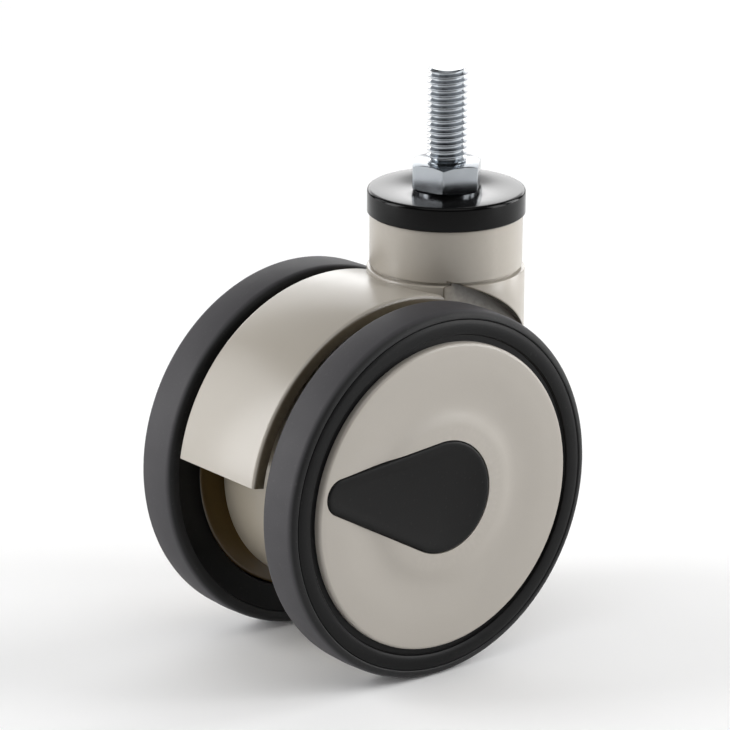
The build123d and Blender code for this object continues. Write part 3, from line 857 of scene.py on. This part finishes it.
class CASTER_OT_housing(bpy.types.Operator):
    """Build the moulded housing: neck, mudguard, nose and hub drum, bored for its bearings"""

    bl_idname = "caster.housing"
    bl_label = "Housing"

    def execute(self, context):
        sizes = context.scene.caster_housing
        half, drum_r = sizes.half_width, sizes.drum_radius
        body = self.drum(half, drum_r)
        block = arc_block(
            "block", drum_r - 1.5 * MM, TYRE_R - 1.2 * MM, half - 0.12 * MM,
            sizes.nose_end + 0.004, radians(95),
        )
        pocket_spans = ((-9, 5), (9, 23), (79, 91))
        for side in (-1, 1):
            for start, end in pocket_spans:
                pocket = arc_block(
                    "pocket", 28.6 * MM, 34.4 * MM, 4.6 * MM, radians(start), radians(end)
                )
                only(pocket)
                bpy.ops.transform.translate(value=(0, side * (half - 4.4 * MM), 0))
                combine(block, settle(pocket), "DIFFERENCE")
        guard = arc_block(
            "guard", TYRE_R - sizes.guard_wall, TYRE_R, half, sizes.nose_end, sizes.guard_end,
            edge=0.8 * MM,
        )
        column = self.column(sizes, half)
        for other in (block, guard, column):
            combine(body, other, "UNION")
        combine(body, self.bearing_bore(), "DIFFERENCE")
        edit_all(body)
        bpy.ops.mesh.fill_holes(sides=4)
        leave_edit()
        colours = context.scene.caster_finishes
        satin = plastic(
            "housing_light_grey", colours.housing, 0.34, drift=0.05, grain=0.14,
            grain_size=2300.0, edge=0.10, dust=0.0, coat=0.35, coat_roughness=0.2,
            bands=[
                # Painted shade: the side faces inside the wheel spaces are coloured dark brown.
                (colours.painted_side_shade, [
                    (AXLE_CENTRE, ALONG_AXLE, half - 0.25 * MM, half - 0.02 * MM),
                    (AXLE_CENTRE, ROUND_AXLE, CLEAR_R + 0.3 * MM, CLEAR_R + 0.1 * MM),
                ]),
                # Painted shade: the drum between the wheels is coloured a darker grey.
                (colours.drum, [
                    (AXLE_CENTRE, ROUND_AXLE, drum_r + 1.5 * MM, drum_r + 0.5 * MM),
                ]),
            ],
        )
        finish(body, "housing_skin", "swivel", "housing", "housing_beige", satin, 32)
        return {"FINISHED"}

    def drum(self, half, drum_r):
        """Hub drum on the axle, turned in one piece, with eight spokes on each side of its web."""
        wall_r, soft, web, sunk = drum_r - 2.5 * MM, 1.2 * MM, 2.0 * MM, half - 0.6 * MM
        bore_r, boss_r, rib_in, rib_out = 4.0 * MM, 8.0 * MM, 14.8 * MM, 16.8 * MM
        near = [(bore_r, half), (boss_r, half), (boss_r, web), (rib_in, web), (rib_in, sunk)]
        near += [(rib_out, sunk), (rib_out, web), (wall_r, web), (wall_r, half)]
        near += arc((drum_r - soft, half - soft), soft, 0, pi / 2, 6)[::-1]
        drum = turn("drum", near + [(wide, -far) for wide, far in reversed(near)])
        start, end = 7.0 * MM, drum_r - 1.5 * MM
        for n in range(RIBS):
            angle = 2 * pi * n / RIBS + pi / RIBS
            clear_selection()
            bpy.ops.mesh.primitive_cube_add(
                size=1, rotation=(0, angle, 0), scale=(end - start, 2 * sunk - 0.03 * MM, 2.0 * MM),
                location=AXLE_CENTRE + (start + end) / 2 * Vector((cos(angle), 0, -sin(angle))),
            )
            combine(drum, settle(bpy.context.object), "UNION")
        return drum

    def column(self, sizes, half):
        """Neck above the mudguard, cut back at both sides to clear the wheels."""
        skirt_r, neck_r, neck_top = CAP_HIGH.x, sizes.neck_radius, CAP_LOW.z
        groove_r = neck_r - 0.6 * MM
        seam = FLOOR_Z + 2 * TYRE_R + 0.3 * MM
        foot = AXLE_CENTRE.z + (TYRE_R**2 - (skirt_r - AXLE_CENTRE.x) ** 2) ** 0.5
        rings = [(skirt_r, foot), (skirt_r, seam - 0.25 * MM)]
        rings += [(skirt_r - 0.08 * MM, seam - 0.08 * MM), (skirt_r - 0.25 * MM, seam)]
        rings += [(groove_r, seam), (groove_r, seam + 0.55 * MM)]
        rings += [(neck_r - 0.1 * MM, seam + 0.6 * MM), (neck_r, seam + 0.7 * MM)]
        rings += [(neck_r, neck_top - 0.2 * MM), (neck_r - 0.2 * MM, neck_top)]
        rings += [(SPIGOT_R, neck_top), (SPIGOT_R, HOUSING_HIGH.z)]
        column = turn("column", rings, along="Z", closed=False)
        for side in (-1, 1):
            near, far = side * half, side * (half + 8 * MM)
            cutter = turn("wheel_space", [(CLEAR_R, near), (CLEAR_R, far)], closed=False)
            combine(column, cutter, "DIFFERENCE")
        return column

    def bearing_bore(self):
        """Cutter for the neck's stepped bearing bore, with its snap-ring groove."""
        low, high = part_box("swivel_lower_outer_ring")[0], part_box("swivel_upper_outer_ring")[1]
        bearing_r, groove_r, relief_r = high.x, high.x + 0.5 * MM, 9.5 * MM
        floor, groove_top, top = -33.0 * MM, high.z + MM, HOUSING_HIGH.z + MM
        return turn("bearing_bore", [
            (relief_r, floor), (relief_r, low.z), (bearing_r, low.z), (bearing_r, high.z),
            (groove_r, high.z), (groove_r, groove_top), (bearing_r, groove_top), (bearing_r, top),
        ], along="Z", closed=False)


class CASTER_OT_top_cap(bpy.types.Operator):
    """Turn the glossy black cap over the neck"""

    bl_idname = "caster.top_cap"
    bl_label = "Top cap"

    def execute(self, context):
        low, top, radius = CAP_LOW.z, CAP_HIGH.z, CAP_HIGH.x
        bore_r, inside, soft = 6.5 * MM, HOUSING_HIGH.z, 0.7 * MM
        rings = [(bore_r, inside), (bore_r, top - 0.4 * MM), (bore_r + 0.12 * MM, top - 0.12 * MM)]
        rings += [(bore_r + 0.4 * MM, top), (radius - 2.2 * MM, top)]
        rings += arc((radius - soft, top - soft), soft, 0, pi / 2, 7)[::-1]
        rings += [(radius, low + 0.18 * MM), (radius - 0.15 * MM, low)]
        rings += [(SPIGOT_R, low), (SPIGOT_R, inside)]
        gloss = plastic(
            "cap_gloss_black", context.scene.caster_finishes.cap, 0.16, drift=0.2, grain=0.05,
            edge=0.03, dust=0.0, gloss_variation=0.05, specular=0.14,
        )
        cap = turn("cap", rings, along="Z")
        finish(cap, "top_cap_skin", "swivel", "top_cap", "cap_black", gloss)
        return {"FINISHED"}


class CASTER_OT_stem(bpy.types.Operator):
    """Make the plated stem: cut thread, hexagon, collar and shank"""

    bl_idname = "caster.stem"
    bl_label = "Threaded stem"

    def execute(self, context):
        sizes = context.scene.caster_stem
        thread = self.thread(sizes)
        hexagon = self.hexagon(sizes)
        combine(hexagon, self.shank(sizes), "UNION")
        combine(hexagon, thread, "UNION")
        zinc = metal(
            "bright_zinc", context.scene.caster_finishes.zinc, 0.20, drift=0.10, edge=0.2,
            grain=0.04,
        )
        finish(hexagon, "threaded_stem_skin", "stem", "threaded_stem", "zinc_steel", zinc, 28)
        return {"FINISHED"}

    def thread(self, sizes):
        """Helical stud: one pitch of the thread's section, screwed upwards and cut square."""
        pitch, crest_r = sizes.thread_pitch, sizes.thread_radius
        root_r = crest_r - 0.6134 * pitch
        flank_r = root_r + 0.2 * (crest_r - root_r)
        section = [
            (root_r, 0), (root_r, pitch / 8), (flank_r, 0.21 * pitch), (crest_r, 7 / 16 * pitch),
            (crest_r, 9 / 16 * pitch), (flank_r, 0.79 * pitch), (root_r, 7 / 8 * pitch),
            (root_r, pitch),
        ]
        clear_selection()
        bpy.ops.mesh.primitive_circle_add(
            vertices=len(section), radius=crest_r, fill_type="NOTHING"
        )
        stud = bpy.context.object
        low = -2 * pitch
        for corner, (wide, up) in zip(stud.data.vertices, section):
            corner.co = (wide, 0, low + up)
        bpy.ops.object.mode_set(mode="EDIT")
        bpy.context.tool_settings.mesh_select_mode = (False, True, False)
        mesh = bmesh.from_edit_mesh(stud.data)
        for edge in mesh.edges:
            span = abs(edge.verts[0].co.z - edge.verts[1].co.z)
            edge.select_set(span > 0.99 * pitch)
        bmesh.update_edit_mesh(stud.data)
        bpy.ops.mesh.delete(type="EDGE")
        leave_edit()
        turns = round((STEM_HIGH.z - low) / pitch) + 2
        modify(
            stud, "SCREW", axis="Z", screw_offset=pitch, iterations=turns, steps=48,
            render_steps=48, use_merge_vertices=False,
        )
        edit_all(stud)
        bpy.ops.mesh.remove_doubles(threshold=0.001 * MM)
        for height, keep_below in ((-0.4 * MM, False), (STEM_HIGH.z + 0.4 * MM, True)):
            bpy.ops.mesh.select_all(action="SELECT")
            bpy.ops.mesh.bisect(
                plane_co=(0, 0, height), plane_no=(0, 0, 1), use_fill=True,
                clear_outer=keep_below, clear_inner=not keep_below, threshold=1e-7,
            )
        leave_edit()
        make_normals_face_out(stud)
        end_r, blank_r = root_r + 0.05 * MM, crest_r + 0.5 * MM
        blank = turn("blank", [
            (blank_r, -1.0 * MM), (blank_r, STEM_HIGH.z - 1.3 * MM), (end_r, STEM_HIGH.z),
        ], along="Z", closed=False, steps=96)
        return combine(stud, blank, "INTERSECT")

    def hexagon(self, sizes):
        """Hexagon with softened edges and both ends chamfered."""
        flat_r, height = sizes.hex_flats / 2, sizes.hex_height
        corner_r = flat_r / cos(pi / 6)
        clear_selection()
        bpy.ops.mesh.primitive_cylinder_add(
            vertices=6, radius=corner_r, depth=height, location=(0, 0, -height / 2),
            rotation=(0, 0, sizes.hex_turn - pi / 6),
        )
        hexagon = soften(settle(bpy.context.object), 0.18 * MM)
        chamfer = turn("chamfer", [
            (flat_r - 0.15 * MM, -height), (corner_r, 0.35 * MM - height),
            (corner_r + 0.1 * MM, -0.62 * MM), (flat_r - 0.2 * MM, 0),
        ], along="Z", closed=False)
        return combine(hexagon, chamfer, "INTERSECT")

    def shank(self, sizes):
        """Collar and shank below the hexagon, with the snap-ring groove."""
        collar_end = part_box("swivel_upper_inner_ring")[1].z
        groove_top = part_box("swivel_lower_inner_ring")[0].z
        groove_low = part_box("stem_snap_ring")[0].z
        shank_r, groove_r, collar_r = 4.0 * MM, 3.8 * MM, 6.0 * MM
        return turn("shank", [
            (shank_r - 0.5 * MM, STEM_LOW.z), (shank_r, STEM_LOW.z + 0.5 * MM),
            (shank_r, groove_low), (groove_r, groove_low), (groove_r, groove_top),
            (shank_r, groove_top), (shank_r, collar_end), (collar_r - 0.2 * MM, collar_end),
            (collar_r, collar_end + 0.2 * MM), (collar_r, -sizes.hex_height / 2),
        ], along="Z", closed=False, steps=96)


class CASTER_OT_hidden_hardware(bpy.types.Operator):
    """Give the axle, bearings, spacers and snap rings, kept as they are, their finishes"""

    bl_idname = "caster.hidden_hardware"
    bl_label = "Bearings and hardware"

    def execute(self, context):
        colours = context.scene.caster_finishes
        finishes = {
            "spring_steel": metal("oiled_spring_steel", colours.spring, 0.38),
            "cage_nylon": plastic("cage_nylon", colours.nylon, 0.5, drift=0.1),
            "shield_steel": metal("pressed_steel", colours.steel, 0.3),
            "turned_steel": metal(
                "turned_steel", colours.steel, 0.32, rings=(AXLE_CENTRE, ROUND_AXLE, 5000.0, 0.3)
            ),
            "bearing_steel": metal("ground_steel", colours.steel, 0.14, drift=0.05),
        }
        for row in frame["record"]["subparts"]:
            kept = frame["nodes"][row["node"]]
            if row["material_slot"] in finishes:
                kept.data.materials.clear()
                kept.data.materials.append(finishes[row["material_slot"]])
        return {"FINISHED"}


class CASTER_OT_studio(bpy.types.Operator):
    """Set up the camera, the pale floor and the soft lights"""

    bl_idname = "caster.studio"
    bl_label = "Studio"

    def execute(self, context):
        studio = context.scene.caster_studio
        self.camera(context, studio)
        self.floor(studio)
        self.lights(context, studio)
        return {"FINISHED"}

    def camera(self, context, studio):
        aim = Vector((-15.50, 6.30, -41.27)) * MM
        level = cos(studio.elevation)
        back = Vector((
            sin(studio.azimuth) * level, -cos(studio.azimuth) * level, sin(studio.elevation)
        ))
        data = bpy.data.cameras.new("camera")
        data.lens = studio.lens
        data.sensor_width = 36.0
        data.clip_start, data.clip_end = 0.05, 20.0
        camera = bpy.data.objects.new("camera", data)
        context.scene.collection.objects.link(camera)
        camera.location = aim + back * studio.distance
        upright = back.to_track_quat("Z", "Y").to_matrix().to_4x4()
        tilt = Euler((0, 0, studio.roll)).to_matrix().to_4x4()
        camera.rotation_euler = (upright @ tilt).to_euler()
        context.scene.camera = camera

    def floor(self, studio):
        clear_selection()
        bpy.ops.mesh.primitive_plane_add(size=8, location=(0, 0, FLOOR_Z))
        floor = settle(bpy.context.object)
        floor.name = "floor"
        material, tree, shader = blank_material("pale_floor")
        speckle = noise(tree, object_place(tree), 30.0, 3.0)
        tone = node(tree, "ShaderNodeMapRange", {"Value": speckle, "To Min": 0.985, "To Max": 1.0})
        fill(tree, shader, {
            "Base Color": vector_maths(tree, "SCALE", {
                0: tuple(studio.floor_colour)[:3], "Scale": tone.outputs[0],
            }),
            "Roughness": 0.9, "Specular IOR Level": 0.1,
        })
        floor.data.materials.append(material)

    def lights(self, context, studio):
        world = bpy.data.worlds.new("studio")
        world.use_nodes = True
        shade = world.node_tree.nodes["Background"]
        shade.inputs["Color"].default_value = (1, 1, 1, 1)
        shade.inputs["Strength"].default_value = studio.ambient
        context.scene.world = world
        context.scene.view_settings.view_transform = "Standard"
        across = Vector((cos(studio.azimuth), sin(studio.azimuth), 0))
        back = Vector((sin(studio.azimuth), -cos(studio.azimuth), 0))
        up = Vector((0, 0, 1))
        middle = Vector((AXLE_CENTRE.x / 2, 0, -40 * MM))
        left, right, rear = across * -0.80, across * 0.80, back * -0.35 + up * 0.14
        panels = (
            ("front_high_panel", back * 0.85 + up * 1.25, 1.8, 0.9, studio.front_power),
            ("top_panel", up * 1.5 - back * 0.1, 2.2, 2.2, studio.top_power),
            ("left_panel", across * -0.70 + back * 0.05 + up * 0.14, 0.30, 0.9, studio.left_power),
            ("left_rear_panel", left + rear, 0.30, 0.9, studio.left_rear_power),
            ("right_panel", across * 0.72 + back * 0.12 + up * 0.12, 0.30, 0.9, studio.right_power),
            ("right_rear_panel", right + rear, 0.30, 0.9, studio.right_rear_power),
            ("back_panel", back * -1.4 + up * 0.60, 2.2, 0.9, studio.back_power),
            ("back_low_panel", back * -1.3 + up * 0.30, 2.2, 0.4, studio.back_low_power),
        )
        for name, off, wide, tall, power in panels:
            data = bpy.data.lights.new(name, "AREA")
            data.shape, data.size, data.size_y, data.energy = "RECTANGLE", wide, tall, power
            lamp = bpy.data.objects.new(name, data)
            context.scene.collection.objects.link(lamp)
            lamp.location = middle + off
            lamp.rotation_euler = off.to_track_quat("Z", "Y").to_euler()


class CASTER_PT_panel(bpy.types.Panel):
    """Caster tools in the 3D view's sidebar"""

    bl_idname = "CASTER_PT_panel"
    bl_label = "Caster"
    bl_space_type = "VIEW_3D"
    bl_region_type = "UI"
    bl_category = "Caster"

    def draw(self, context):
        for name in GROUPS:
            group = getattr(context.scene, name)
            column = self.layout.column(align=True)
            for key in group.bl_rna.properties.keys():
                if key not in ("rna_type", "name"):
                    column.prop(group, key)
        for operator in BUILD_ORDER:
            self.layout.operator(operator.bl_idname)


GROUPS = {
    "caster_wheel": CasterWheelSizes,
    "caster_housing": CasterHousingSizes,
    "caster_stem": CasterStemSizes,
    "caster_finishes": CasterFinishes,
    "caster_studio": CasterStudio,
}
BUILD_ORDER = (
    CASTER_OT_surface_effects,
    CASTER_OT_tyres,
    CASTER_OT_wheel_centres,
    CASTER_OT_hub_covers,
    CASTER_OT_teardrop_caps,
    CASTER_OT_dust_shields,
    CASTER_OT_housing,
    CASTER_OT_top_cap,
    CASTER_OT_stem,
    CASTER_OT_hidden_hardware,
    CASTER_OT_studio,
)


def register():
    for owner in (*GROUPS.values(), *BUILD_ORDER, CASTER_PT_panel):
        bpy.utils.register_class(owner)
    for name, group in GROUPS.items():
        setattr(bpy.types.Scene, name, PointerProperty(type=group))


def unregister():
    for name in GROUPS:
        delattr(bpy.types.Scene, name)
    for owner in reversed((*GROUPS.values(), *BUILD_ORDER, CASTER_PT_panel)):
        bpy.utils.unregister_class(owner)


def main():
    register()
    for operator in BUILD_ORDER:
        family, name = operator.bl_idname.split(".")
        getattr(getattr(bpy.ops, family), name)()


if __name__ == "__main__":
    main()
